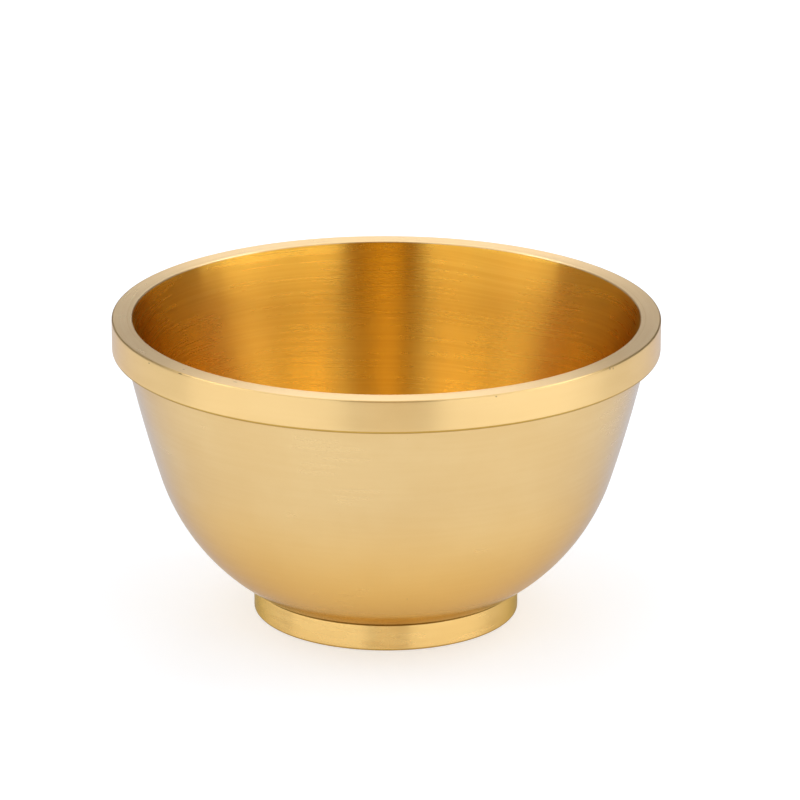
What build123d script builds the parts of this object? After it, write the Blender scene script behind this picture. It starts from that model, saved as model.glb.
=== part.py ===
"""A small turned brass offering bowl: a deep cup with a proud rim band, standing on a foot ring.

Millimetres, +Z up, with the origin at the centre of the foot's underside. Every piece is turned about Z,
so each is drawn as a half section in radius and height, and then revolved.
"""

import os
from math import asin, cos, radians, sin, sqrt

from build123d import *

# The bowl as a whole.
rim_diameter = 80.0
overall_height = 45.0

# The cup: a slightly bowed wall that turns into a rounder belly.
lip_width = 3.0
wall_thickness = 2.0
lip_lean = 10.6
wall_bow_radius = 205.0
belly_height = 21.4
floor_thickness = 2.8
floor_corner_radius = 12.0
lip_round = 0.25

# The band round the mouth, standing on a ledge turned on the cup.
band_height = 4.9
band_ledge = 0.4
band_top_round = 0.25
band_lower_round = 0.4
rim_solder_gap = 0.1

# The foot ring, centred on a spigot under the cup and soldered to the shoulder round it.
foot_diameter = 39.0
foot_height = 4.0
foot_width = 2.9
foot_overhang = 0.3
foot_round = 0.3
foot_seam_round = 0.15
spigot_depth = 1.15
spigot_clearance = 0.1
foot_solder_gap = 0.15
foot_solder_setback = 0.3

# Levels.
band_bottom = overall_height - band_height
shoulder_level = foot_height + foot_solder_gap
underside_level = shoulder_level - spigot_depth
floor_level = underside_level + floor_thickness

# Radii.
rim_radius = rim_diameter / 2
mouth_radius = rim_radius - lip_width
foot_radius = foot_diameter / 2
foot_bore_radius = foot_radius - foot_width
spigot_radius = foot_bore_radius - spigot_clearance
shoulder_radius = foot_radius + foot_overhang

# The bowed wall is one arc, which leans outward at the lip and leans more as it goes down.
lean = radians(lip_lean)
wall_start = Vector(mouth_radius + wall_thickness * cos(lean), overall_height - wall_thickness * sin(lean))
wall_centre = wall_start + wall_bow_radius * Vector(-cos(lean), sin(lean))
belly_lean = asin((wall_centre.Y - belly_height) / wall_bow_radius)


def wall_point(angle):
    """Return the point of the wall's outer face that leans by this angle."""
    return wall_centre + wall_bow_radius * Vector(cos(angle), -sin(angle))


band_lean = asin((wall_centre.Y - band_bottom) / wall_bow_radius)
seat_radius = wall_point(band_lean).X - band_ledge
bore_radius = seat_radius + rim_solder_gap


def inward(point, centre):
    """Move a point of the cup's outer face to the inner face, towards the centre of its arc."""
    return point + wall_thickness * (centre - point).normalized()


def turned(section, rounded=()):
    """Round the given corners of a half section, then revolve it about Z.

    Each rounded corner is a pair: its (radius, height) and the rounding's radius.
    """
    for corner, rounding in rounded:
        section = fillet(section.vertices().sort_by_distance(corner)[0], rounding)
    return revolve(Plane.XZ * section, Axis.Z)


def ring(inner_radius, outer_radius, bottom, top, rounded=()):
    """Make a plain turned ring, with any corners rounded."""
    corners = [(inner_radius, bottom), (outer_radius, bottom), (outer_radius, top), (inner_radius, top)]
    return turned(make_face(Polyline(*corners, close=True)), rounded)


def bowl_shell():
    """Make the cup: wall and belly arcs, flat floor, band seat round the lip and spigot underneath."""
    wall = ThreePointArc(
        wall_point(band_lean), wall_point((band_lean + belly_lean) / 2), wall_point(belly_lean)
    )
    belly = TangentArc(wall @ 1, (shoulder_radius, shoulder_level), tangent=wall % 1)
    belly_centre = belly.arc_center
    base = Polyline(
        belly @ 1,
        (spigot_radius, shoulder_level),
        (spigot_radius, underside_level),
        (0, underside_level),
        (0, floor_level),
    )

    inner_belly_radius = belly.radius - wall_thickness
    floor_drop = belly_centre.Y - floor_level
    floor_edge = Vector(belly_centre.X + sqrt(inner_belly_radius**2 - floor_drop**2), floor_level)
    inner_knee = inward(wall @ 1, belly_centre)
    belly_chord_middle = (floor_edge + inner_knee) / 2
    inner_belly_middle = (
        belly_centre + inner_belly_radius * (belly_chord_middle - belly_centre).normalized()
    )
    floor = Line(base @ 1, floor_edge)
    inner_belly = ThreePointArc(floor_edge, inner_belly_middle, inner_knee)
    mouth_edge = Vector(mouth_radius, overall_height)
    inner_wall_middle = inward(wall_point((lean + belly_lean) / 2), wall_centre)
    inner_wall = ThreePointArc(inner_knee, inner_wall_middle, mouth_edge)
    band_seat = Polyline(mouth_edge, (seat_radius, overall_height), (seat_radius, band_bottom), wall @ 0)

    section = make_face([wall, belly, *base.edges(), floor, inner_belly, inner_wall, *band_seat.edges()])
    return turned(section, [(floor_edge, floor_corner_radius), (mouth_edge, lip_round)])


def rim_band():
    """Make the band: a plain ring whose two outer edges are eased."""
    return ring(
        bore_radius,
        rim_radius,
        band_bottom,
        overall_height,
        [((rim_radius, overall_height), band_top_round), ((rim_radius, band_bottom), band_lower_round)],
    )


def foot_ring():
    """Make the foot: a plain ring, rounded where it stands and eased along the seam with the cup."""
    return ring(
        foot_bore_radius,
        foot_radius,
        0,
        foot_height,
        [
            ((foot_radius, 0), foot_round),
            ((foot_bore_radius, 0), foot_round),
            ((foot_radius, foot_height), foot_seam_round),
        ],
    )


def rim_solder():
    """Make the sleeve of solder between the cup's lip and the band."""
    return ring(seat_radius, bore_radius, band_bottom, overall_height)


def foot_solder():
    """Make the washer of solder between the foot and the cup's shoulder."""
    return ring(foot_bore_radius, foot_radius - foot_solder_setback, foot_height, shoulder_level)


pieces = {
    "bowl_shell": bowl_shell(),
    "rim_band": rim_band(),
    "foot_ring": foot_ring(),
    "rim_solder": rim_solder(),
    "foot_solder": foot_solder(),
}

os.makedirs("parts", exist_ok=True)
for name, piece in pieces.items():
    export_step(piece, f"parts/{name}.step")
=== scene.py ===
"""Dress the offering bowl: finer turned meshes, brass finishes, a white studio and the camera.

The cup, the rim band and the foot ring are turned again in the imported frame, with their tool marks.
The two films of solder keep their solids. Metres throughout, in the frame of the solids.
"""

import logging
import math
from dataclasses import dataclass
from enum import Enum

import bpy
from mathutils import Matrix, Vector
from mathutils.kdtree import KDTree


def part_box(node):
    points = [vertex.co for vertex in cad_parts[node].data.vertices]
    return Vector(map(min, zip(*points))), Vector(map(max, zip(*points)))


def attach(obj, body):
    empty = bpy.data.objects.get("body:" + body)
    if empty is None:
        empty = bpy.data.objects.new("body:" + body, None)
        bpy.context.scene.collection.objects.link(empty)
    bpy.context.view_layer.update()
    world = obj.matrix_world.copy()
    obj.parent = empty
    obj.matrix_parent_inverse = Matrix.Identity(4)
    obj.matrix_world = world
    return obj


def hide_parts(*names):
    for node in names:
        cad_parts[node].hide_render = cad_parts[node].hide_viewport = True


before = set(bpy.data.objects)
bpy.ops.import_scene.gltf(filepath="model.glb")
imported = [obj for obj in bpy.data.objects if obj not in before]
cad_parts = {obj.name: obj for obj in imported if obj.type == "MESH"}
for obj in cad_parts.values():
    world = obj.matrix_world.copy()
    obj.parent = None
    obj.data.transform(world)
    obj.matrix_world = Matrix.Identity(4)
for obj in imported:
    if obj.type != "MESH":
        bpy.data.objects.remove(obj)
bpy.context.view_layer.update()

MM = 1e-3
MICRON = 1e-6
BODY = "root"
QUARTER_TURN = math.pi / 2
FULL_TURN = 2 * math.pi
HALF_CIRCLE = 180
FULL_CIRCLE = 360
MATRIX_SIZE = 3

Point = tuple[float, float]
Colour = tuple[float, float, float]
Feed = float | tuple[float, ...] | bpy.types.NodeSocket

log = logging.getLogger("offering_bowl")


class NodeBench:
    """Adds nodes to one shader tree and joins them."""

    def __init__(self, tree: bpy.types.NodeTree) -> None:
        """Keep the tree that the nodes go into."""
        self.tree = tree

    def feed(self, socket: bpy.types.NodeSocket, value: Feed) -> None:
        """Join a socket to another node's output, or set its own value.

        Args:
            socket: The input socket.
            value: An output socket, a number, a vector or a colour.
        """
        if isinstance(value, bpy.types.NodeSocket):
            self.tree.links.new(value, socket)
        else:
            socket.default_value = value

    def add(
        self, kind: str, inputs: dict[str, Feed] | None = None, **settings: str | bpy.types.NodeTree
    ) -> bpy.types.Node:
        """Add one node.

        Args:
            kind: Blender's name for the type of node.
            inputs: What goes into its sockets, by socket name.
            settings: The node's own settings.

        Returns:
            The new node.
        """
        node = self.tree.nodes.new(kind)
        for name, value in settings.items():
            setattr(node, name, value)
        for name, value in (inputs or {}).items():
            self.feed(node.inputs[name], value)
        return node

    def math(self, operation: str, *terms: Feed) -> bpy.types.NodeSocket:
        """Add a Math node.

        Args:
            operation: The node's operation.
            terms: What goes into its sockets, in their order.

        Returns:
            The result.
        """
        node = self.add("ShaderNodeMath", operation=operation)
        for socket, term in zip(node.inputs, terms):
            self.feed(socket, term)
        return node.outputs["Value"]

    def total(self, *terms: Feed) -> bpy.types.NodeSocket:
        """Add up several values.

        Args:
            terms: Numbers or sockets, two or more.

        Returns:
            The sum.
        """
        result = terms[0]
        for term in terms[1:]:
            result = self.math("ADD", result, term)
        return result

    def length(self, first: Feed, second: Feed) -> bpy.types.NodeSocket:
        """Give the length of the diagonal of two runs at right angles.

        Args:
            first: One run.
            second: The other run.

        Returns:
            The diagonal.
        """
        squares = (self.math("MULTIPLY", run, run) for run in (first, second))
        return self.math("SQRT", self.total(*squares))

    def stretch(self, value: Feed, low: Feed, high: Feed) -> bpy.types.NodeSocket:
        """Stretch a value so that low becomes 0 and high becomes 1, and hold it between them.

        Args:
            value: What is stretched.
            low: Where the result is 0.
            high: Where the result is 1.

        Returns:
            The result, eased at both ends.
        """
        inputs = {"Value": value, "From Min": low, "From Max": high}
        node = self.add("ShaderNodeMapRange", inputs, interpolation_type="SMOOTHSTEP")
        return node.outputs["Result"]

    def tint(self, amount: Feed, plain: Feed, marked: Feed) -> bpy.types.NodeSocket:
        """Mix two colours.

        Args:
            amount: 0 for the plain colour and 1 for the marked one.
            plain: The first colour.
            marked: The second colour.

        Returns:
            The mixed colour.
        """
        node = self.add("ShaderNodeMix", data_type="RGBA")
        factor, first, second = (
            next(s for s in node.inputs if s.identifier == name)
            for name in ("Factor_Float", "A_Color", "B_Color")
        )
        self.feed(factor, amount)
        self.feed(first, plain)
        self.feed(second, marked)
        return next(s for s in node.outputs if s.identifier == "Result_Color")


class SurfaceGroup:
    """A node group that several finishes share.

    Attributes:
        name: The group's name.
        inputs: The group's input sockets and their usual values.
        outputs: The group's output sockets.
        tree: The group's nodes.
        bench: What adds them.
        given: The sockets of what goes in.
        result: The sockets of what comes out.
        place: The point on the bowl.
    """

    name: str
    inputs: dict[str, float]
    outputs: tuple[str, ...]

    def __init__(self) -> None:
        """Make the group's sockets, and draw what is between them."""
        self.tree = bpy.data.node_groups.new(self.name, "ShaderNodeTree")
        for name, value in self.inputs.items():
            socket = self.tree.interface.new_socket(name, in_out="INPUT", socket_type="NodeSocketFloat")
            socket.default_value = value
        for name in self.outputs:
            self.tree.interface.new_socket(name, in_out="OUTPUT", socket_type="NodeSocketFloat")
        self.bench = NodeBench(self.tree)
        self.given = self.bench.add("NodeGroupInput").outputs
        self.result = self.bench.add("NodeGroupOutput").inputs
        self.place = self.bench.add("ShaderNodeTexCoord").outputs["Object"]
        self.draw()

    def draw(self) -> None:
        """Draw the group's nodes."""
        raise NotImplementedError

    def use(self, bench: NodeBench, **values: float) -> bpy.types.NodeOutputs:
        """Place the group in a material.

        Args:
            bench: The material's bench.
            values: The group's inputs in this material, with spaces in their names as underscores.

        Returns:
            The group's outputs.
        """
        inputs = {name.replace("_", " "): value for name, value in values.items()}
        node = bench.add("ShaderNodeGroup", node_tree=self.tree)
        for name, value in inputs.items():
            node.inputs[name].default_value = value
        return node.outputs


class LatheLines(SurfaceGroup):
    """Lines round the bowl's axis: even hairlines from the tool, and longer strokes from brushing."""

    name = "lathe lines"
    inputs = {"line width": 0.2 * MM, "stroke width": 0.8 * MM, "strokes round": 3.0, "wander": 0.5 * MM}
    outputs = ("lines", "strokes")
    wander_length = 30 * MM
    wander_detail = 0.0
    noise_middle = 0.5
    least_radius = 0.01 * MM
    stroke_detail = 1.0

    def draw(self) -> None:
        """Sample noise by the tool's travel and the direction from the axis, so that there is no seam."""
        bench = self.bench
        split = bench.add("ShaderNodeSeparateXYZ", {"Vector": self.place})
        x, y, z = split.outputs
        radius = bench.length(x, y)
        divisor = bench.math("MAXIMUM", radius, self.least_radius)
        across = bench.math("MULTIPLY", bench.math("DIVIDE", x, divisor), self.given["strokes round"])
        along = bench.math("MULTIPLY", bench.math("DIVIDE", y, divisor), self.given["strokes round"])

        drift_inputs = {"Vector": self.place, "Scale": 1 / self.wander_length, "Detail": self.wander_detail}
        drift = bench.add("ShaderNodeTexNoise", drift_inputs)
        centred = bench.math("SUBTRACT", drift.outputs["Fac"], self.noise_middle)
        wander = bench.math("MULTIPLY", centred, self.given["wander"])
        travel = bench.total(z, radius, wander)
        for result, width in (("lines", "line width"), ("strokes", "stroke width")):
            step = bench.math("DIVIDE", travel, self.given[width])
            spot = bench.add("ShaderNodeCombineXYZ", {"X": across, "Y": along, "Z": step}).outputs["Vector"]
            inputs = {"Vector": spot, "Scale": 1.0, "Detail": self.stroke_detail}
            noise = bench.add("ShaderNodeTexNoise", inputs)
            bench.feed(self.result[result], noise.outputs["Fac"])


class Smudges(SurfaceGroup):
    """Soft clouds left by handling and by uneven polishing."""

    name = "smudges"
    inputs = {"size": 15 * MM}
    outputs = ("smudge",)
    detail = 4.0
    faint, full = 0.35, 0.68

    def draw(self) -> None:
        """Stretch a cloud of noise to the whole range."""
        scale = self.bench.math("DIVIDE", 1.0, self.given["size"])
        inputs = {"Vector": self.place, "Scale": scale, "Detail": self.detail}
        cloud = self.bench.add("ShaderNodeTexNoise", inputs).outputs["Fac"]
        self.bench.feed(self.result["smudge"], self.bench.stretch(cloud, self.faint, self.full))


class Pits(SurfaceGroup):
    """Sparse small pits in the metal."""

    name = "pits"
    inputs = {"spacing": 3 * MM, "radius": 0.09 * MM, "share": 0.2}
    outputs = ("pit",)
    floor_share = 0.4

    def draw(self) -> None:
        """Keep the middle of a share of the cells of a Voronoi pattern."""
        bench = self.bench
        scale = bench.math("DIVIDE", 1.0, self.given["spacing"])
        cells = bench.add("ShaderNodeTexVoronoi", {"Vector": self.place, "Scale": scale})
        edge = bench.math("MULTIPLY", self.given["radius"], scale)
        bottom = bench.math("MULTIPLY", edge, self.floor_share)
        hole = bench.stretch(cells.outputs["Distance"], edge, bottom)
        lot = bench.add("ShaderNodeSeparateColor", {"Color": cells.outputs["Color"]}).outputs["Red"]
        kept = bench.math("LESS_THAN", lot, self.given["share"])
        bench.feed(self.result["pit"], bench.math("MULTIPLY", hole, kept))


class Scratches(SurfaceGroup):
    """Sparse fine scratches, which run in two directions across the lathe lines."""

    name = "scratches"
    inputs = {"length": 6 * MM, "width": 0.12 * MM, "share": 0.3}
    outputs = ("scratch",)
    turns = ((0.3, 0.5, 0.2), (-0.5, 0.25, 1.3))
    rare, sure = 0.76, 0.66
    peak_rise = 0.04
    noise_detail = 0.0

    def draw(self) -> None:
        """Draw stretched noise twice, each turned its own way, and keep only its peaks."""
        bench = self.bench
        threshold = bench.math("MULTIPLY_ADD", self.given["share"], self.sure - self.rare, self.rare)
        peak = bench.math("ADD", threshold, self.peak_rise)
        long = bench.math("DIVIDE", 1.0, self.given["length"])
        narrow = bench.math("DIVIDE", 1.0, self.given["width"])
        stretch = bench.add("ShaderNodeCombineXYZ", {"X": long, "Y": narrow, "Z": narrow}).outputs["Vector"]
        marks = []
        for turn in self.turns:
            turned = bench.add("ShaderNodeMapping", {"Vector": self.place, "Rotation": turn})
            spot = bench.add("ShaderNodeVectorMath", operation="MULTIPLY")
            bench.feed(spot.inputs[0], turned.outputs["Vector"])
            bench.feed(spot.inputs[1], stretch)
            inputs = {"Vector": spot.outputs["Vector"], "Scale": 1.0, "Detail": self.noise_detail}
            noise = bench.add("ShaderNodeTexNoise", inputs).outputs["Fac"]
            marks.append(bench.stretch(noise, threshold, peak))
        bench.feed(self.result["scratch"], bench.math("MAXIMUM", *marks))


class Nicks(SurfaceGroup):
    """One small mark at a given place on the bowl: a pit, a nick or a short scratch."""

    name = "nick"
    inputs = {
        "bearing": 0.0,
        "height": 45 * MM,
        "radius": 40 * MM,
        "half length": 0.2 * MM,
        "half width": 0.1 * MM,
    }
    outputs = ("nick",)
    floor_share = 0.4

    def draw(self) -> None:
        """Measure how far a point is from the mark, round the bowl and across that."""
        bench = self.bench
        x, y, z = bench.add("ShaderNodeSeparateXYZ", {"Vector": self.place}).outputs
        radius = bench.length(x, y)
        bearing = bench.math("ARCTAN2", x, bench.math("MULTIPLY", y, -1.0))
        turn = bench.math("SUBTRACT", bearing, self.given["bearing"])
        arc = bench.math("MULTIPLY", turn, self.given["radius"])
        rise = bench.math("SUBTRACT", z, self.given["height"])
        reach = bench.math("SUBTRACT", radius, self.given["radius"])
        around = bench.math("DIVIDE", arc, self.given["half length"])
        up = bench.math("DIVIDE", rise, self.given["half width"])
        out = bench.math("DIVIDE", reach, self.given["half width"])
        away = bench.length(around, bench.length(up, out))
        bench.feed(self.result["nick"], bench.stretch(away, 1.0, self.floor_share))


@dataclass(frozen=True)
class Nick:
    """Where one small mark is on the bowl, and its size.

    Attributes:
        bearing: Degrees from the camera's side, towards the right.
        height: Its height above the foot's underside.
        radius: Its distance from the axis.
        half_length: Half of its length round the bowl.
        half_width: Half of its width across that.
    """

    bearing: float
    height: float
    radius: float
    half_length: float
    half_width: float


@dataclass(frozen=True)
class BrassFinish:
    """One finish of the bowl's brass.

    Attributes:
        label: The material's name.
        colour: The metal's own colour, linear.
        roughness: The mean roughness.
        roughness_spread: How far strokes and smudges move the roughness either way.
        brushing: How much wider the gloss is across the lathe lines than along them, from 0 to 1.
        line_width: The width of a hairline.
        line_depth: The depth of a hairline.
        stroke_width: The width of a brush stroke.
        stroke_depth: The depth of a brush stroke.
        strokes_round: How often strokes start and stop on the way round.
        stroke_tone: How much deeper the metal's colour is in a stroke, from 0 to 1.
        smudge_tone: How much deeper it is in a smudge.
        pit_share: The share of places that have a pit.
        scratch_share: How many scratches there are, from 0 to 1.
        wander: How far the lathe lines stray.
        deeper: The tint of the metal in a stroke or a smudge.
        edge_tint: The tint of the metal where it is seen edge on.
        foot_painted_reflection: How far a painted golden reflection tints the metal near the foot, 0 to 1.
        foot_painted_reflection_tint: Its tint, painted light for light bounced by the belly, foot and
            floor.
        foot_painted_reflection_top: Where that painted reflection starts, as a height.
        foot_painted_reflection_bottom: Where it is full.
        heel_painted_reflection_tint: The tint of a painted golden reflection just above the foot.
        foot_polish: How much less rough the metal is just above the foot.
        foot_polish_top: Where that polish and the heel's painted reflection start, as a height.
        foot_polish_bottom: Where they are full.
        pit_painted_shade: The dark colour in a pit or a nick, linear: painted shade in the hollow.
        pit_depth: The depth of a pit or a nick.
        scratch_depth: The depth of a scratch.
        nicks: The small marks at known places.
    """

    label: str
    colour: Colour
    roughness: float
    roughness_spread: float
    brushing: float
    line_width: float = 0.2 * MM
    line_depth: float = 0.6 * MICRON
    stroke_width: float = 0.8 * MM
    stroke_depth: float = 1.0 * MICRON
    strokes_round: float = 3.0
    stroke_tone: float = 0.1
    smudge_tone: float = 0.1
    pit_share: float = 0.1
    scratch_share: float = 0.05
    wander: float = 0.5 * MM
    deeper: Colour = (0.86, 0.74, 0.55)
    edge_tint: Colour = (0.62, 0.66, 0.8)
    # Painted light: a golden reflection painted low on the belly and just above the foot, by height.
    foot_painted_reflection: float = 0.0
    foot_painted_reflection_tint: Colour = (1.07, 0.88, 0.42)
    foot_painted_reflection_top: float = 30 * MM
    foot_painted_reflection_bottom: float = 3 * MM
    heel_painted_reflection_tint: Colour = (1.2, 1.03, 0.36)
    foot_polish: float = 0.0
    foot_polish_top: float = 8 * MM
    foot_polish_bottom: float = 5.5 * MM
    pit_painted_shade: Colour = (0.25, 0.15, 0.06)
    pit_depth: float = 20 * MICRON
    scratch_depth: float = 1.5 * MICRON
    nicks: tuple[Nick, ...] = ()


@dataclass(frozen=True)
class FinishShop:
    """Makes the finishes, with the node groups that they share.

    Attributes:
        lathe_lines: The lines from the tool and from brushing.
        smudges: The clouds.
        pits: The sparse pits.
        scratches: The sparse scratches.
        nicks: The marks at known places.
        materials: The materials made so far, by label.
    """

    lathe_lines: LatheLines
    smudges: Smudges
    pits: Pits
    scratches: Scratches
    nicks: Nicks
    materials: dict[str, bpy.types.Material]
    faint_stroke = 0.3
    full_stroke = 0.7
    scuff = 0.1

    @classmethod
    def open(cls) -> "FinishShop":
        """Make the groups, with no material yet."""
        return cls(LatheLines(), Smudges(), Pits(), Scratches(), Nicks(), {})

    def material(self, finish: BrassFinish) -> bpy.types.Material:
        """Give a finish's material, made the first time it is asked for.

        Args:
            finish: The finish.

        Returns:
            Its material.
        """
        if finish.label not in self.materials:
            self.materials[finish.label] = self.make(finish)
        return self.materials[finish.label]

    def make(self, finish: BrassFinish) -> bpy.types.Material:
        """Build a finish's material.

        Args:
            finish: The finish.

        Returns:
            A new material with one Principled shader.
        """
        material = bpy.data.materials.new(finish.label)
        material.use_nodes = True
        bench = NodeBench(material.node_tree)
        shader = material.node_tree.nodes["Principled BSDF"]
        shader.inputs["Metallic"].default_value = 1.0
        shader.inputs["Anisotropic"].default_value = finish.brushing
        shader.inputs["Specular Tint"].default_value = (*finish.edge_tint, 1.0)
        shader.inputs["Anisotropic Rotation"].default_value = QUARTER_TURN / FULL_TURN

        turning = self.lathe_lines.use(
            bench,
            line_width=finish.line_width,
            stroke_width=finish.stroke_width,
            strokes_round=finish.strokes_round,
            wander=finish.wander,
        )
        smudge = self.smudges.use(bench)["smudge"]
        pit = self.pits.use(bench, share=finish.pit_share)["pit"]
        for nick in finish.nicks:
            mark = self.nicks.use(
                bench,
                bearing=math.radians(nick.bearing),
                height=nick.height,
                radius=nick.radius,
                half_length=nick.half_length,
                half_width=nick.half_width,
            )
            pit = bench.math("MAXIMUM", pit, mark["nick"])
        scratch = self.scratches.use(bench, share=finish.scratch_share)["scratch"]
        stroke = bench.stretch(turning["strokes"], self.faint_stroke, self.full_stroke)

        place = bench.add("ShaderNodeTexCoord").outputs["Object"]
        height = bench.add("ShaderNodeSeparateXYZ", {"Vector": place}).outputs["Z"]
        # Painted golden reflection: the colour turns golden towards the foot, for light bounced there.
        low = bench.stretch(height, finish.foot_painted_reflection_top, finish.foot_painted_reflection_bottom)
        tone = bench.total(
            bench.math("MULTIPLY", stroke, finish.stroke_tone),
            bench.math("MULTIPLY", smudge, finish.smudge_tone),
        )
        deep = tuple(a * b for a, b in zip(finish.colour, finish.deeper))
        painted_golden_reflection = tuple(a * b for a, b in zip(finish.colour, finish.foot_painted_reflection_tint))
        metal = bench.tint(tone, (*finish.colour, 1.0), (*deep, 1.0))
        metal = bench.tint(bench.math("MULTIPLY", low, finish.foot_painted_reflection), metal, (*painted_golden_reflection, 1.0))
        # This mask lowers the roughness just above the foot (real polish) and also paints a golden
        # reflection there.
        smooth = bench.stretch(height, finish.foot_polish_top, finish.foot_polish_bottom)
        heel_painted_reflection = tuple(a * b for a, b in zip(finish.colour, finish.heel_painted_reflection_tint))
        metal = bench.tint(bench.math("MULTIPLY", smooth, finish.foot_painted_reflection), metal, (*heel_painted_reflection, 1.0))
        # Painted shade: pits and nicks are darkened in colour as well as sunk in the bump.
        colour = bench.tint(pit, metal, (*finish.pit_painted_shade, 1.0))
        bench.feed(shader.inputs["Base Color"], colour)

        blend = bench.math("SUBTRACT", bench.total(stroke, smudge), 1.0)
        worn = bench.math("MULTIPLY_ADD", blend, finish.roughness_spread, finish.roughness)
        scuffed = bench.math("MULTIPLY_ADD", bench.math("MAXIMUM", pit, scratch), self.scuff, worn)
        polished = bench.math("MULTIPLY_ADD", smooth, -finish.foot_polish, scuffed)
        bench.feed(shader.inputs["Roughness"], polished)

        relief = bench.total(
            bench.math("MULTIPLY", turning["lines"], finish.line_depth / MICRON),
            bench.math("MULTIPLY", turning["strokes"], finish.stroke_depth / MICRON),
            bench.math("MULTIPLY", pit, -finish.pit_depth / MICRON),
            bench.math("MULTIPLY", scratch, -finish.scratch_depth / MICRON),
        )
        bump = bench.add("ShaderNodeBump", {"Height": relief, "Distance": MICRON})
        bench.feed(shader.inputs["Normal"], bump.outputs["Normal"])
        return material


BRASS: Colour = (0.82, 0.575, 0.255)
SATIN_BRASS: Colour = (0.76, 0.54, 0.25)
FOOT_BRASS: Colour = (0.9, 0.62, 0.235)
# Partly the metal's colour, partly painted highlight: paler, for the blown highlight on the top face.
FACED_BRASS_AND_PAINTED_HIGHLIGHT: Colour = (0.87, 0.63, 0.33)
# Painted shade: a dark colour on the lower eased edges, for the shade under the band and at the foot.
PAINTED_SHADE_SEAM_COLOUR: Colour = (0.55, 0.34, 0.08)
# Painted shade: a darker colour on the foot's top eased edge, for the crevice under the belly.
PAINTED_SHADE_GROOVE_COLOUR: Colour = (0.34, 0.2, 0.04)
# Partly the metal's colour, partly painted reflection: deepened to amber for light bounced round the
# inside.
INSIDE_BRASS_AND_PAINTED_BOUNCE: Colour = (0.97, 0.6, 0.1)

# Each mark: its bearing in degrees, height, radius, half length and half width.
RIM_NICKS = (
    Nick(52.3, 44.75 * MM, 40 * MM, 0.14 * MM, 0.25 * MM),
    Nick(53.4, 44.6 * MM, 40 * MM, 0.12 * MM, 0.22 * MM),
    Nick(22.6, 44.7 * MM, 40 * MM, 0.16 * MM, 0.12 * MM),
    Nick(-46.3, 44.85 * MM, 39.95 * MM, 0.6 * MM, 0.1 * MM),
    Nick(-57.0, 44.5 * MM, 40 * MM, 0.25 * MM, 0.1 * MM),
)
LIP_NICKS = (
    Nick(-33.6, 45 * MM, 38.0 * MM, 0.5 * MM, 0.1 * MM),
    Nick(-47.5, 45 * MM, 38.6 * MM, 0.3 * MM, 0.08 * MM),
)


class Finish(Enum):
    """The named finishes of the bowl."""

    OUTSIDE = BrassFinish(
        "satin_brass",
        SATIN_BRASS,
        roughness=0.3,
        roughness_spread=0.03,
        brushing=0.7,
        smudge_tone=0.2,
        stroke_tone=0.06,
        # The painted golden reflection low on the belly is on in this finish only.
        foot_painted_reflection=1.0,
        foot_polish=0.17,
    )
    INSIDE = BrassFinish(
        "brushed_brass_and_painted_bounce",
        INSIDE_BRASS_AND_PAINTED_BOUNCE,
        roughness=0.28,
        roughness_spread=0.04,
        brushing=1.0,
        line_depth=0.15 * MICRON,
        stroke_width=0.5 * MM,
        stroke_depth=0.5 * MICRON,
        stroke_tone=0.35,
        strokes_round=0.8,
        wander=6 * MM,
        scratch_share=0.0,
        edge_tint=(0.85, 0.75, 0.5),
    )
    RIM = BrassFinish(
        "turned_brass",
        BRASS,
        roughness=0.32,
        roughness_spread=0.02,
        brushing=0.9,
        smudge_tone=0.08,
        stroke_tone=0.05,
        edge_tint=(0.74, 0.71, 0.74),
        nicks=RIM_NICKS,
    )
    LIP = BrassFinish(
        "faced_brass_and_painted_highlight",
        FACED_BRASS_AND_PAINTED_HIGHLIGHT,
        roughness=0.3,
        roughness_spread=0.03,
        brushing=0.9,
        line_width=0.15 * MM,
        stroke_width=0.4 * MM,
        edge_tint=(1.0, 1.0, 1.0),
        nicks=LIP_NICKS,
    )
    FOOT = BrassFinish(
        "foot_brass",
        FOOT_BRASS,
        roughness=0.28,
        roughness_spread=0.03,
        brushing=1.0,
        edge_tint=(0.5, 0.48, 0.36),
    )
    # Painted shade on the lower eased edges of the band and the foot.
    PAINTED_SHADE_SEAM = BrassFinish("painted_shade_seam", PAINTED_SHADE_SEAM_COLOUR, roughness=0.4, roughness_spread=0.05, brushing=0.5)
    # Painted shade on the foot's top eased edge, in the crevice under the belly.
    PAINTED_SHADE_GROOVE = BrassFinish("painted_shade_groove", PAINTED_SHADE_GROOVE_COLOUR, roughness=0.45, roughness_spread=0.05, brushing=0.5)
    UNDERSIDE = BrassFinish(
        "tooled_brass", BRASS, roughness=0.33, roughness_spread=0.05, brushing=0.5, line_depth=2 * MICRON
    )
    SOLDER = BrassFinish("solder", BRASS, roughness=0.32, roughness_spread=0.03, brushing=0.6)


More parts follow.
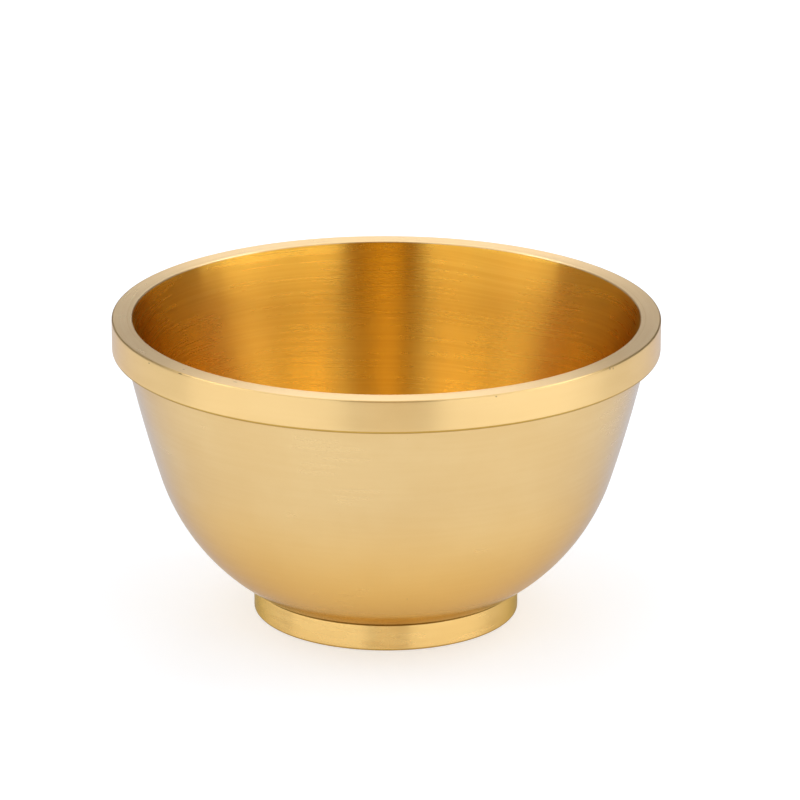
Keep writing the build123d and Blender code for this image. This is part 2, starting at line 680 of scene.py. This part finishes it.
class HalfSection:
    """A half section in radius and height, drawn point by point, with the finish of each edge."""

    edges_per_ring = 4

    def __init__(self, start: Point) -> None:
        """Start at a point."""
        self.points = [start]
        self.finishes: list[Finish] = []

    def line(self, finish: Finish, end: Point, steps: int = 1) -> None:
        """Draw a straight run.

        Args:
            finish: The finish of the run.
            end: Where the run ends.
            steps: How many edges the run has.
        """
        start = self.points[-1]
        for i in range(1, steps + 1):
            self.points.append(tuple(a + (b - a) * i / steps for a, b in zip(start, end)))
            self.finishes.append(finish)

    def arc(
        self, finish: Finish, centre: Point, end_angle: float, steps: int, start_angle: float | None = None
    ) -> None:
        """Draw an arc round a centre.

        Args:
            finish: The finish of the arc.
            centre: The arc's centre.
            end_angle: Where the arc ends, as an angle from straight out towards up.
            steps: How many edges the arc has.
            start_angle: Where the arc starts, if not at its angle from the centre.
        """
        out, up = (a - b for a, b in zip(self.points[-1], centre))
        radius = math.hypot(out, up)
        start = math.atan2(up, out) if start_angle is None else start_angle
        for i in range(1, steps + 1):
            angle = start + (end_angle - start) * i / steps
            self.points.append((centre[0] + radius * math.cos(angle), centre[1] + radius * math.sin(angle)))
            self.finishes.append(finish)

    def ripples(self, finish: Finish, end: Point, pitch: float, depth: float) -> None:
        """Draw a level run with the shallow rings that a facing tool leaves.

        Args:
            finish: The finish of the run.
            end: Where the run ends, at the level it started from.
            pitch: The distance from ring to ring.
            depth: How far the rings rise, or sink where it is negative.
        """
        start, level = self.points[-1]
        rings = max(1, round(abs(end[0] - start) / pitch))
        steps = rings * self.edges_per_ring
        for i in range(1, steps + 1):
            rise = depth * (1 - math.cos(FULL_TURN * i / self.edges_per_ring)) / 2
            self.points.append((start + (end[0] - start) * i / steps, level + rise))
            self.finishes.append(finish)


class TurnedPiece:
    """A piece turned about Z from its half section.

    Attributes:
        name: The piece's name in the scene.
        slot: The record's material slot; not used.
        node: The solid that the piece stands for.
        segments: How many facets go round.
        weld: How near to each other points are merged.
        crease: The angle past which an edge stays sharp.
    """

    name: str
    slot: str
    node: str
    segments = 256
    weld = 1 * MICRON
    crease = math.radians(35)

    def section(self) -> HalfSection:
        """Draw the half section."""
        raise NotImplementedError

    def outline(self, section: HalfSection) -> None:
        """Draw the half section in edit mode, from a plane that is merged to one vertex.

        Args:
            section: The half section.
        """
        radius, height = section.points[0]
        bpy.ops.object.select_all(action="DESELECT")
        bpy.ops.mesh.primitive_plane_add(size=MM, location=(radius, 0, height))
        bpy.ops.object.transform_apply(location=True)
        bpy.ops.object.mode_set(mode="EDIT")
        bpy.ops.mesh.merge(type="CENTER")
        for (r0, z0), (r1, z1) in zip(section.points, section.points[1:]):
            bpy.ops.mesh.extrude_vertices_move(TRANSFORM_OT_translate={"value": (r1 - r0, 0, z1 - z0)})
        bpy.ops.mesh.select_all(action="SELECT")

    def turn(self) -> bpy.types.Object:
        """Spin the outline about Z, close it and point its faces outward.

        Returns:
            The turned piece.
        """
        bpy.ops.mesh.spin(steps=self.segments, angle=FULL_TURN, center=(0, 0, 0), axis=(0, 0, 1))
        bpy.ops.mesh.select_all(action="SELECT")
        bpy.ops.mesh.remove_doubles(threshold=self.weld)
        bpy.ops.mesh.normals_make_consistent(inside=False)
        bpy.ops.object.mode_set(mode="OBJECT")
        bpy.ops.object.shade_smooth_by_angle(angle=self.crease)
        piece = bpy.context.object
        piece.name = piece.data.name = self.name
        return piece

    def dress(self, piece: bpy.types.Object, section: HalfSection, shop: FinishShop) -> None:
        """Give each face the finish of the edge that it was turned from.

        Args:
            piece: The turned piece.
            section: Its half section.
            shop: Where the finishes come from.
        """
        used = list(dict.fromkeys(section.finishes))
        for finish in used:
            piece.data.materials.append(shop.material(finish.value))
        edges = KDTree(len(section.finishes))
        for i, (start, end) in enumerate(zip(section.points, section.points[1:])):
            edges.insert(((start[0] + end[0]) / 2, 0, (start[1] + end[1]) / 2), i)
        edges.balance()
        choices = []
        for face in piece.data.polygons:
            _, nearest, _ = edges.find((face.center.xy.length, 0, face.center.z))
            choices.append(used.index(section.finishes[nearest]))
        piece.data.polygons.foreach_set("material_index", choices)

    def build(self, shop: FinishShop) -> bpy.types.Object:
        """Draw, turn and dress the piece, and set it in the frame.

        Args:
            shop: Where the finishes come from.

        Returns:
            The finished piece.
        """
        section = self.section()
        self.outline(section)
        piece = self.turn()
        self.dress(piece, section, shop)
        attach(piece, BODY)
        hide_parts(self.node)
        return piece


@dataclass
class Cup(TurnedPiece):
    """The cup: a bowed wall, a rounder belly, a flat floor, the band's seat and the foot's spigot.

    Attributes:
        wall: The wall's thickness.
        lip_width: The width of the rim's top face, band included.
        lip_lean: How far the wall leans outward at the lip.
        bow: The radius of the wall's bow.
        belly_height: Where the wall turns into the belly.
        floor_thickness: The floor's thickness.
        floor_round: The round between the floor and the belly.
        lip_round: The round of the mouth's edge.
        ledge: The width of the ledge under the band.
        overhang: How far the cup stands out over the foot.
        foot_width: The width of the foot ring that the spigot centres.
        spigot_clearance: The gap between the spigot and the foot.
        spigot_depth: How far the spigot goes into the foot.
        ring_pitch: The distance between the facing tool's rings.
        under_ring_depth: How deep the rings under the floor are.
        floor_ring_depth: How deep the rings inside are.
        centre_radius: The radius of the centre mark under the floor.
        centre_depth: The depth of the centre mark.
    """

    name: str = "cup"
    slot: str = "bowl_brass"
    node: str = "bowl_shell"
    wall: float = 2.0 * MM
    lip_width: float = 3.0 * MM
    lip_lean: float = math.radians(10.6)
    bow: float = 205.0 * MM
    belly_height: float = 21.4 * MM
    floor_thickness: float = 2.8 * MM
    floor_round: float = 12.0 * MM
    lip_round: float = 0.25 * MM
    ledge: float = 0.4 * MM
    overhang: float = 0.3 * MM
    foot_width: float = 2.9 * MM
    spigot_clearance: float = 0.1 * MM
    spigot_depth: float = 1.15 * MM
    ring_pitch: float = 0.9 * MM
    under_ring_depth: float = 0.03 * MM
    floor_ring_depth: float = 0.004 * MM
    centre_radius: float = 0.8 * MM
    centre_depth: float = 0.5 * MM

    # How many edges each stretch of the half section has.
    centre_steps = 3
    spigot_steps = 3
    shoulder_steps = 6
    belly_steps = 44
    wall_steps = 28
    ledge_steps = 2
    seat_steps = 6
    lip_face_steps = 3
    lip_round_steps = 6
    inner_wall_steps = 40
    inner_belly_steps = 36
    floor_round_steps = 20

    def section(self) -> HalfSection:
        """Draw the half section from the centre of the underside, up the outside and down the inside.

        Returns:
            The half section.
        """
        (_, _, underside), (_, _, top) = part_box(self.node)
        band_low, band_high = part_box("rim_band")
        foot_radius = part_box("foot_ring")[1].x
        shoulder = underside + self.spigot_depth
        spigot = foot_radius - self.foot_width - self.spigot_clearance
        floor = underside + self.floor_thickness
        mouth = band_high.x - self.lip_width

        wall_start = (
            mouth + self.wall * math.cos(self.lip_lean),
            top - self.wall * math.sin(self.lip_lean),
        )
        bow_centre = (
            wall_start[0] - self.bow * math.cos(self.lip_lean),
            wall_start[1] + self.bow * math.sin(self.lip_lean),
        )
        knee_lean = math.asin((bow_centre[1] - self.belly_height) / self.bow)
        band_lean = math.asin((bow_centre[1] - band_low.z) / self.bow)
        knee = (bow_centre[0] + self.bow * math.cos(knee_lean), self.belly_height)
        seat = bow_centre[0] + self.bow * math.cos(band_lean) - self.ledge

        shoulder_edge = (foot_radius + self.overhang, shoulder)
        run = (shoulder_edge[0] - knee[0], shoulder_edge[1] - knee[1])
        sag = run[1] * math.sin(knee_lean) - run[0] * math.cos(knee_lean)
        belly = (run[0] ** 2 + run[1] ** 2) / (2 * sag)
        belly_centre = (knee[0] - belly * math.cos(knee_lean), knee[1] + belly * math.sin(knee_lean))

        round_height = floor + self.floor_round
        drop = belly_centre[1] - round_height
        reach = belly - self.wall - self.floor_round
        round_centre = (belly_centre[0] + math.sqrt(reach**2 - drop**2), round_height)
        round_lean = math.atan2(drop, round_centre[0] - belly_centre[0])

        lip_centre = self.lip_centre(mouth, top)
        section = HalfSection((0.0, underside + self.centre_depth))
        section.line(Finish.UNDERSIDE, (self.centre_radius, underside), self.centre_steps)
        section.ripples(Finish.UNDERSIDE, (spigot, underside), self.ring_pitch, self.under_ring_depth)
        section.line(Finish.UNDERSIDE, (spigot, shoulder), self.spigot_steps)
        section.line(Finish.OUTSIDE, shoulder_edge, self.shoulder_steps)
        section.arc(Finish.OUTSIDE, belly_centre, -knee_lean, self.belly_steps)
        section.arc(Finish.OUTSIDE, bow_centre, -band_lean, self.wall_steps)
        section.line(Finish.OUTSIDE, (seat, band_low.z), self.ledge_steps)
        section.line(Finish.LIP, (seat, top), self.seat_steps)
        section.line(Finish.LIP, (lip_centre[0], top), self.lip_face_steps)
        section.arc(Finish.LIP, lip_centre, math.pi - self.lip_lean, self.lip_round_steps, QUARTER_TURN)
        section.arc(Finish.INSIDE, bow_centre, -knee_lean, self.inner_wall_steps)
        section.arc(Finish.INSIDE, belly_centre, -round_lean, self.inner_belly_steps)
        section.arc(Finish.INSIDE, round_centre, -QUARTER_TURN, self.floor_round_steps)
        section.ripples(Finish.INSIDE, (0.0, floor), self.ring_pitch, self.floor_ring_depth)
        return section

    def lip_centre(self, mouth: float, top: float) -> Point:
        """Find the centre of the round between the top face and the leaning inside of the wall.

        Args:
            mouth: The radius of the sharp edge.
            top: The level of the top face.

        Returns:
            The centre, which is the round's radius from both faces.
        """
        setback = self.lip_round * math.tan((QUARTER_TURN - self.lip_lean) / 2)
        return (mouth + setback, top - self.lip_round)


@dataclass
class Ring(TurnedPiece):
    """A ring of rectangular section whose corners are eased.

    Attributes:
        width: The ring's width, from its bore to its outside.
        eases: The rounds of the corners: outer bottom, outer top, inner top and inner bottom.
        side: The finish of the outer face.
        edges: The finishes of the outer face's lower and upper corners.
        top: The finish of the top face.
        under: The finish of the bore and the bottom face.
        face_steps: How many edges a face of the half section has.
        ease_steps: How many edges a rounded corner has.
    """

    name: str
    slot: str
    node: str
    width: float
    eases: tuple[float, float, float, float]
    side: Finish
    edges: tuple[Finish, Finish]
    top: Finish
    under: Finish
    face_steps: int = 10
    ease_steps: int = 6

    def section(self) -> HalfSection:
        """Draw the half section anticlockwise, from the outer end of the bottom face.

        Returns:
            The half section, which ends where it starts.
        """
        low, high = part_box(self.node)
        outer = min(high.x, high.y, -low.x, -low.y)
        inner = high.x - self.width
        corners = ((outer, low.z), (outer, high.z), (inner, high.z), (inner, low.z))
        out_up = ((1, -1), (1, 1), (-1, 1), (-1, -1))
        centres = [
            (corner[0] - side[0] * ease, corner[1] - side[1] * ease)
            for corner, side, ease in zip(corners, out_up, self.eases)
        ]
        face_finishes = (self.side, self.top, self.under, self.under)
        ease_finishes = (*self.edges, self.under, self.under)
        start = (centres[0][0], low.z)
        section = HalfSection(start)
        for i, (centre, ease) in enumerate(zip(centres, self.eases)):
            end_angle = i * QUARTER_TURN
            if ease:
                section.arc(ease_finishes[i], centre, end_angle, self.ease_steps, end_angle - QUARTER_TURN)
            following = (i + 1) % len(centres)
            ahead = centres[following]
            reach = self.eases[following]
            face_end = (
                ahead[0] + reach * math.cos(end_angle),
                ahead[1] + reach * math.sin(end_angle),
            )
            section.line(face_finishes[i], face_end, self.face_steps)
        return section


@dataclass
class RimHoop(Ring):
    """The band round the mouth."""

    name: str = "rim_hoop"
    slot: str = "rim_brass"
    node: str = "rim_band"
    width: float = 2.235 * MM
    eases: tuple[float, float, float, float] = (0.4 * MM, 0.25 * MM, 0.0, 0.0)
    side: Finish = Finish.RIM
    # The band's lower ease carries painted shade.
    edges: tuple[Finish, Finish] = (Finish.PAINTED_SHADE_SEAM, Finish.RIM)
    top: Finish = Finish.LIP
    under: Finish = Finish.UNDERSIDE


@dataclass
class FootHoop(Ring):
    """The ring that the bowl stands on."""

    name: str = "foot_hoop"
    slot: str = "foot_brass"
    node: str = "foot_ring"
    width: float = 2.9 * MM
    eases: tuple[float, float, float, float] = (0.3 * MM, 0.15 * MM, 0.0, 0.3 * MM)
    side: Finish = Finish.FOOT
    # The foot's eased edges get painted shade: the lower one by the floor, the upper one under the belly.
    edges: tuple[Finish, Finish] = (Finish.PAINTED_SHADE_SEAM, Finish.PAINTED_SHADE_GROOVE)
    top: Finish = Finish.FOOT
    under: Finish = Finish.UNDERSIDE


def dress_solder(node: str, shop: FinishShop) -> bpy.types.Object:
    """Give a film of solder its finish; its solid stays as it is.

    Args:
        node: The solid's name.
        shop: Where the finish comes from.

    Returns:
        The solid.
    """
    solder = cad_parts[node]
    solder.data.materials.clear()
    solder.data.materials.append(shop.material(Finish.SOLDER.value))
    return solder


def toward(azimuth: float, elevation: float, distance: float) -> Vector:
    """Give a place in the studio by its direction from the bowl.

    Args:
        azimuth: Degrees from the camera's side, towards the right.
        elevation: Degrees above the floor.
        distance: Metres from the bowl's foot.

    Returns:
        The place.
    """
    around, up = math.radians(azimuth), math.radians(elevation)
    flat = distance * math.cos(up)
    return Vector((flat * math.sin(around), -flat * math.cos(around), distance * math.sin(up)))


@dataclass(frozen=True)
class Softbox:
    """A soft lamp that faces the bowl.

    Attributes:
        name: The lamp's name.
        azimuth: Its direction from the bowl, in degrees from the camera's side.
        elevation: Its direction above the floor, in degrees.
        width: The width of its cloth.
        height: The height of its cloth.
        brightness: How bright its cloth looks, where 1 is white.
        distance: How far it stands from the bowl.
    """

    name: str
    azimuth: float
    elevation: float
    width: float
    height: float
    brightness: float
    distance: float = 1.3

    def build(self) -> None:
        """Hang the lamp and point it at the bowl."""
        place = toward(self.azimuth, self.elevation, self.distance)
        turn = (-place).to_track_quat("-Z", "Y").to_euler()
        bpy.ops.object.light_add(type="AREA", location=place, rotation=turn)
        lamp = bpy.context.object
        lamp.name = self.name
        lamp.data.shape = "RECTANGLE"
        lamp.data.size = self.width
        lamp.data.size_y = self.height
        lamp.data.energy = self.brightness * math.pi * self.width * self.height


@dataclass(frozen=True)
class Curtain:
    """A curved card round the bowl, out of the picture, which the brass reflects.

    Attributes:
        name: The card's name.
        start: Where it starts, in degrees from the camera's side, towards the right.
        end: Where it ends.
        low: Its lower edge, in degrees above the floor.
        high: Its upper edge.
        grey: How light it is.
        tint: The colour that the grey is tinted with.
        radius: How far it stands from the bowl.
        panels: How many flat panels a full circle would have.
    """

    name: str
    start: float
    end: float
    low: float
    high: float
    grey: float
    tint: Colour = (1.0, 1.0, 1.0)
    radius: float = 2.0
    panels: int = 360

    def build(self) -> None:
        """Cut the card from a tube, and hide it from the camera."""
        bottom = self.radius * math.tan(math.radians(self.low))
        top = self.radius * math.tan(math.radians(self.high))
        bpy.ops.object.select_all(action="DESELECT")
        bpy.ops.mesh.primitive_cylinder_add(
            vertices=self.panels,
            radius=self.radius,
            depth=top - bottom,
            end_fill_type="NOTHING",
            location=(0, 0, (bottom + top) / 2),
        )
        bpy.ops.object.transform_apply(location=True)
        card = bpy.context.object
        card.name = self.name
        bpy.ops.object.mode_set(mode="EDIT")
        bpy.ops.mesh.select_mode(type="FACE")
        bpy.ops.mesh.select_all(action="DESELECT")
        bpy.ops.object.mode_set(mode="OBJECT")
        middle = (self.start + self.end) / 2
        half = (self.end - self.start) / 2
        for face in card.data.polygons:
            bearing = math.degrees(math.atan2(face.center.x, -face.center.y))
            away = abs((bearing - middle + HALF_CIRCLE) % FULL_CIRCLE - HALF_CIRCLE)
            face.select = away > half
        bpy.ops.object.mode_set(mode="EDIT")
        bpy.ops.mesh.delete(type="FACE")
        bpy.ops.object.mode_set(mode="OBJECT")
        card.visible_camera = False
        colour = tuple(self.grey * part for part in self.tint)
        card.data.materials.append(plain_material(self.name, colour))


def plain_material(name: str, colour: Colour) -> bpy.types.Material:
    """Make a plain matt colour for the studio.

    Args:
        name: The material's name.
        colour: Its colour, linear.

    Returns:
        The material.
    """
    material = bpy.data.materials.new(name)
    material.use_nodes = True
    shader = material.node_tree.nodes["Principled BSDF"]
    shader.inputs["Base Color"].default_value = (*colour, 1.0)
    shader.inputs["Roughness"].default_value = 1.0
    shader.inputs["Specular IOR Level"].default_value = 0.0
    return material


@dataclass(frozen=True)
class Studio:
    """The floor, the white surround, the lamps, the cards and the camera.

    Attributes:
        floor_size: The side of the floor.
        floor_colour: The colour of the floor, linear.
        floor_lift: How much of the surround's white shows through the floor, so that its shadow is faint.
        surround: How bright the surround is, where 1 is white.
        lens: The camera's lens, in millimetres.
        sensor: The width of its sensor, in millimetres.
        camera_place: Where the camera stands.
        camera_pitch: How far it looks down.
        camera_roll: How far it leans.
        lamps: The lamps.
        curtains: The cards that the brass reflects.
    """

    floor_size: float = 12.0
    floor_colour: Colour = (0.54, 0.57, 0.63)
    floor_lift: float = 0.58
    surround: float = 1.0
    lens: float = 232.1
    sensor: float = 36.0
    camera_place: tuple[float, float, float] = (2.016 * MM, -716.5 * MM, 270.94 * MM)
    camera_pitch: float = math.radians(18.454)
    camera_roll: float = math.radians(0.158)
    # Each lamp: its name, azimuth, elevation, width, height and brightness.
    lamps: tuple[Softbox, ...] = (
        Softbox("left strip", -50, 5, 1.4, 0.16, 1.5, distance=1.0),
        Softbox("right strip", 57, 5, 1.56, 0.16, 2.3, distance=1.0),
        Softbox("left softbox", -75, 52, 1.6, 0.6, 0.25),
        Softbox("right softbox", 75, 52, 1.6, 0.6, 0.25),
        Softbox("left edge lamp", -95, 47, 0.7, 0.3, 2.6),
        Softbox("right edge lamp", 100, 47, 0.9, 0.3, 2.6),
        Softbox("back softbox", 180, 52, 0.45, 0.6, 0.8),
        Softbox("rear strip", 180, 33, 0.28, 0.36, 1.4),
    )
    # Each card: its name, start, end, lower edge, upper edge, grey and any tint.
    curtains: tuple[Curtain, ...] = (
        # The warm tints of the front curtain and the camera card paint the amber of light bounced round the
        # inside.
        Curtain("front curtain with painted amber", -13, 17, 0, 55, 0.32, (1.0, 0.55, 0.1)),
        Curtain("left flap", -19, -13, 0, 55, 0.35),
        Curtain("right flap", 17, 23, 0, 55, 0.35),
        Curtain("left curtain", -86, -19, 9, 40, 0.92),
        Curtain("right curtain", 23, 83, 9, 40, 0.75),
        Curtain("left side curtain", -157, -86, 0, 40, 0.55),
        Curtain("right side curtain", 83, 155, 0, 40, 0.4),
        Curtain("right rear curtain", 155, 165, 0, 40, 0.04),
        Curtain("left rear curtain", 195, 203, 0, 40, 0.04),
        Curtain("rear skirt", 165, 195, 0, 8, 0.04),
        Curtain("rear screen", 165, 195, 8, 40, 0.9),
        # Painted reflection: an amber card, for bounced light inside the bowl.
        Curtain("amber card for painted bounce", -8, 11, 0, 18, 0.8, (1.0, 0.58, 0.03), radius=1.9),
    )

    def build_floor(self) -> None:
        """Lay a pale floor that shows from above only."""
        bpy.ops.mesh.primitive_plane_add(size=self.floor_size)
        floor = bpy.context.object
        floor.name = "floor"
        material = plain_material("floor", self.floor_colour)
        bench = NodeBench(material.node_tree)
        matt = material.node_tree.nodes["Principled BSDF"].outputs["BSDF"]
        path = bench.add("ShaderNodeLightPath").outputs
        seen = bench.math("MAXIMUM", path["Is Camera Ray"], path["Is Glossy Ray"])
        shown = bench.math("MAXIMUM", seen, path["Is Transmission Ray"])
        lift = bench.math("MULTIPLY", shown, self.floor_lift)
        glow = bench.add("ShaderNodeEmission", {"Strength": lift}).outputs["Emission"]
        lifted = bench.add("ShaderNodeAddShader")
        bench.feed(lifted.inputs[0], matt)
        bench.feed(lifted.inputs[1], glow)
        clear = bench.add("ShaderNodeBsdfTransparent").outputs["BSDF"]
        side = bench.add("ShaderNodeNewGeometry").outputs["Backfacing"]
        shown_side = bench.add("ShaderNodeMixShader")
        bench.feed(shown_side.inputs["Fac"], side)
        bench.feed(shown_side.inputs[1], lifted.outputs["Shader"])
        bench.feed(shown_side.inputs[2], clear)
        output = material.node_tree.nodes["Material Output"]
        bench.feed(output.inputs["Surface"], shown_side.outputs["Shader"])
        floor.data.materials.append(material)

    def build_surround(self) -> None:
        """Surround the studio with white."""
        world = bpy.data.worlds.new("white surround")
        world.use_nodes = True
        background = world.node_tree.nodes["Background"]
        background.inputs["Color"].default_value = (1.0, 1.0, 1.0, 1.0)
        background.inputs["Strength"].default_value = self.surround
        bpy.context.scene.world = world

    def build_camera(self) -> None:
        """Stand the camera where the photograph was taken from."""
        tip = Matrix.Rotation(QUARTER_TURN - self.camera_pitch, MATRIX_SIZE, "X")
        roll = Matrix.Rotation(self.camera_roll, MATRIX_SIZE, "Z")
        bpy.ops.object.camera_add(location=self.camera_place, rotation=(tip @ roll).to_euler())
        camera = bpy.context.object
        camera.data.lens = self.lens
        camera.data.sensor_width = self.sensor
        bpy.context.scene.camera = camera

    def build(self) -> None:
        """Build the whole studio."""
        bpy.context.scene.view_settings.view_transform = "Standard"
        self.build_floor()
        self.build_surround()
        for fitting in (*self.lamps, *self.curtains):
            fitting.build()
        self.build_camera()


def main() -> None:
    """Turn and dress the bowl's pieces, then build the studio round them."""
    logging.basicConfig(level=logging.INFO, format="%(name)s: %(message)s")
    shop = FinishShop.open()
    pieces = (Cup(), RimHoop(), FootHoop())
    for piece in pieces:
        built = piece.build(shop)
        log.info("%s stands for %s: %d faces", built.name, piece.node, len(built.data.polygons))
    for node in ("rim_solder", "foot_solder"):
        log.info("%s keeps its solid", dress_solder(node, shop).name)
    Studio().build()


if __name__ == "__main__":
    main()
